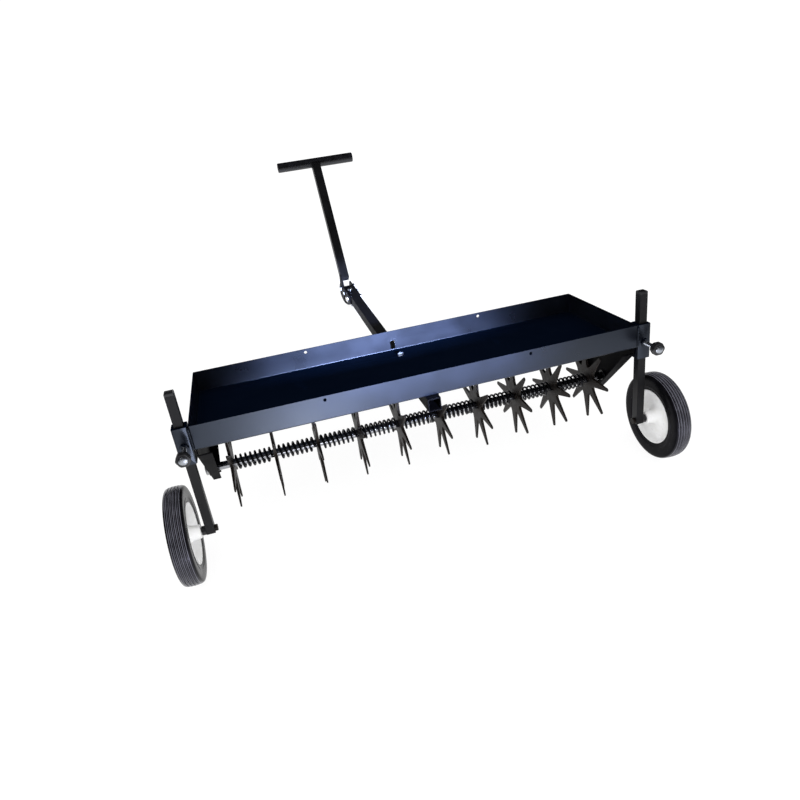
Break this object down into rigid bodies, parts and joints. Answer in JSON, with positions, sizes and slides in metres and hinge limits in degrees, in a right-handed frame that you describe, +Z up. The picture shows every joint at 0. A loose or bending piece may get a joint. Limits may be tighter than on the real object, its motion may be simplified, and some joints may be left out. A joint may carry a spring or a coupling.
{
  "type": "spike aerator",
  "caption": "Tow-behind lawn spike aerator: open weight tray over a shaft of loose toothed discs, wheels on clamped sliding arms, tongue with folding T-handle.",
  "frame": {"origin": "centre of the bounding box's bottom face, on the floor that the two tyres and the hitch plates stand on", "axes": "+Y forward along the tongue to the T-handle, +X to the machine's right, +Z up; the machine is pitched nose-down 16.32 degrees about X, as it stands by itself"},
  "size_m": [1.225, 1.5036, 0.4306],
  "materials": {
    "black_paint": "satin",
    "gloss_black": "gloss",
    "dark_steel": "dark oxide, satin",
    "spring_steel": "oiled, satin",
    "bright_steel": "bright",
    "zinc": "zinc plated",
    "tyre_rubber": "matte",
    "white_plastic": "satin",
    "black_plastic": "matte"
  },
  "bodies": {
    "frame": {"tray": "black_paint", "hanger_left": "black_paint", "hanger_right": "black_paint", "axle_bush_left": "black_plastic", "axle_bush_right": "black_plastic", "shaft_collar_left": "zinc", "shaft_collar_right": "zinc", "axle_shaft": "bright_steel", "arm_sleeve_left": "black_paint", "arm_sleeve_right": "black_paint", "tongue": "black_paint", "tongue_bolt_rear": "zinc", "tongue_bolt_front": "zinc", "hitch_plate_left": "black_paint", "hitch_plate_right": "black_paint", "hitch_bolt_rear": "zinc", "hitch_bolt_front": "zinc", "handle_bolt": "zinc", "spring_1": "spring_steel", "spring_2": "spring_steel", "spring_3": "spring_steel", "spring_4": "spring_steel", "spring_5": "spring_steel", "spring_6": "spring_steel", "spring_7": "spring_steel", "spring_8": "spring_steel", "spring_9": "spring_steel"},
    "star_01": {"star_01": "dark_steel"},
    "star_02": {"star_02": "dark_steel"},
    "star_03": {"star_03": "dark_steel"},
    "star_04": {"star_04": "dark_steel"},
    "star_05": {"star_05": "dark_steel"},
    "star_06": {"star_06": "dark_steel"},
    "star_07": {"star_07": "dark_steel"},
    "star_08": {"star_08": "dark_steel"},
    "star_09": {"star_09": "dark_steel"},
    "star_10": {"star_10": "dark_steel"},
    "arm_left": {"wheel_arm_left": "black_paint", "arm_cap_left": "black_plastic", "wheel_bolt_left": "dark_steel", "wheel_spacer_left": "black_plastic"},
    "wheel_left": {"tyre_left": "tyre_rubber", "rim_left": "white_plastic", "wheel_bush_left": "zinc"},
    "clamp_left": {"clamp_knob_left": "black_plastic", "clamp_stud_left": "bright_steel"},
    "arm_right": {"wheel_arm_right": "black_paint", "arm_cap_right": "black_plastic", "wheel_bolt_right": "dark_steel", "wheel_spacer_right": "black_plastic"},
    "wheel_right": {"tyre_right": "tyre_rubber", "rim_right": "white_plastic", "wheel_bush_right": "zinc"},
    "clamp_right": {"clamp_knob_right": "black_plastic", "clamp_stud_right": "bright_steel"},
    "handle": {"handle_upright": "black_paint", "handle_bar": "gloss_black", "bar_plug_left": "black_plastic", "bar_plug_right": "black_plastic"},
    "tow_pin": {"tow_pin": "bright_steel"}
  },
  "joints": [
    {"name": "star_01_spin", "type": "hinge", "parent": "frame", "child": "star_01", "pos_m": [-0.4572, -0.49722, 0.14985], "axis": [1, 0, 0], "continuous": true},
    {"name": "star_02_spin", "type": "hinge", "parent": "frame", "child": "star_02", "pos_m": [-0.3556, -0.49722, 0.14985], "axis": [1, 0, 0], "continuous": true},
    {"name": "star_03_spin", "type": "hinge", "parent": "frame", "child": "star_03", "pos_m": [-0.254, -0.49722, 0.14985], "axis": [1, 0, 0], "continuous": true},
    {"name": "star_04_spin", "type": "hinge", "parent": "frame", "child": "star_04", "pos_m": [-0.1524, -0.49722, 0.14985], "axis": [1, 0, 0], "continuous": true},
    {"name": "star_05_spin", "type": "hinge", "parent": "frame", "child": "star_05", "pos_m": [-0.0508, -0.49722, 0.14985], "axis": [1, 0, 0], "continuous": true},
    {"name": "star_06_spin", "type": "hinge", "parent": "frame", "child": "star_06", "pos_m": [0.0508, -0.49722, 0.14985], "axis": [1, 0, 0], "continuous": true},
    {"name": "star_07_spin", "type": "hinge", "parent": "frame", "child": "star_07", "pos_m": [0.1524, -0.49722, 0.14985], "axis": [1, 0, 0], "continuous": true},
    {"name": "star_08_spin", "type": "hinge", "parent": "frame", "child": "star_08", "pos_m": [0.254, -0.49722, 0.14985], "axis": [1, 0, 0], "continuous": true},
    {"name": "star_09_spin", "type": "hinge", "parent": "frame", "child": "star_09", "pos_m": [0.3556, -0.49722, 0.14985], "axis": [1, 0, 0], "continuous": true},
    {"name": "star_10_spin", "type": "hinge", "parent": "frame", "child": "star_10", "pos_m": [0.4572, -0.49722, 0.14985], "axis": [1, 0, 0], "continuous": true},
    {"name": "arm_left_height", "type": "slide", "parent": "frame", "child": "arm_left", "axis": [0, 0.281, 0.9597], "range_m": [-0.05, 0.12]},
    {"name": "wheel_left_spin", "type": "hinge", "parent": "arm_left", "child": "wheel_left", "pos_m": [-0.58, -0.64226, 0.11], "axis": [1, 0, 0], "continuous": true},
    {"name": "clamp_left_turn", "type": "hinge", "parent": "frame", "child": "clamp_left", "pos_m": [-0.526, -0.64536, 0.33076], "axis": [0, -0.9597, 0.281], "range_deg": [0, 360]},
    {"name": "arm_right_height", "type": "slide", "parent": "frame", "child": "arm_right", "axis": [0, 0.281, 0.9597], "range_m": [-0.05, 0.12]},
    {"name": "wheel_right_spin", "type": "hinge", "parent": "arm_right", "child": "wheel_right", "pos_m": [0.58, -0.64226, 0.11], "axis": [1, 0, 0], "continuous": true},
    {"name": "clamp_right_turn", "type": "hinge", "parent": "frame", "child": "clamp_right", "pos_m": [0.526, -0.64536, 0.33076], "axis": [0, -0.9597, 0.281], "range_deg": [0, 360]},
    {"name": "handle_fold", "type": "hinge", "parent": "frame", "child": "handle", "pos_m": [0.002, 0.35652, 0.04788], "axis": [-1, 0, 0], "range_deg": [-75, 35]},
    {"name": "tow_pin_lift", "type": "slide", "parent": "frame", "child": "tow_pin", "axis": [0, 0.281, 0.9597], "range_m": [0, 0.06]}
  ]
}
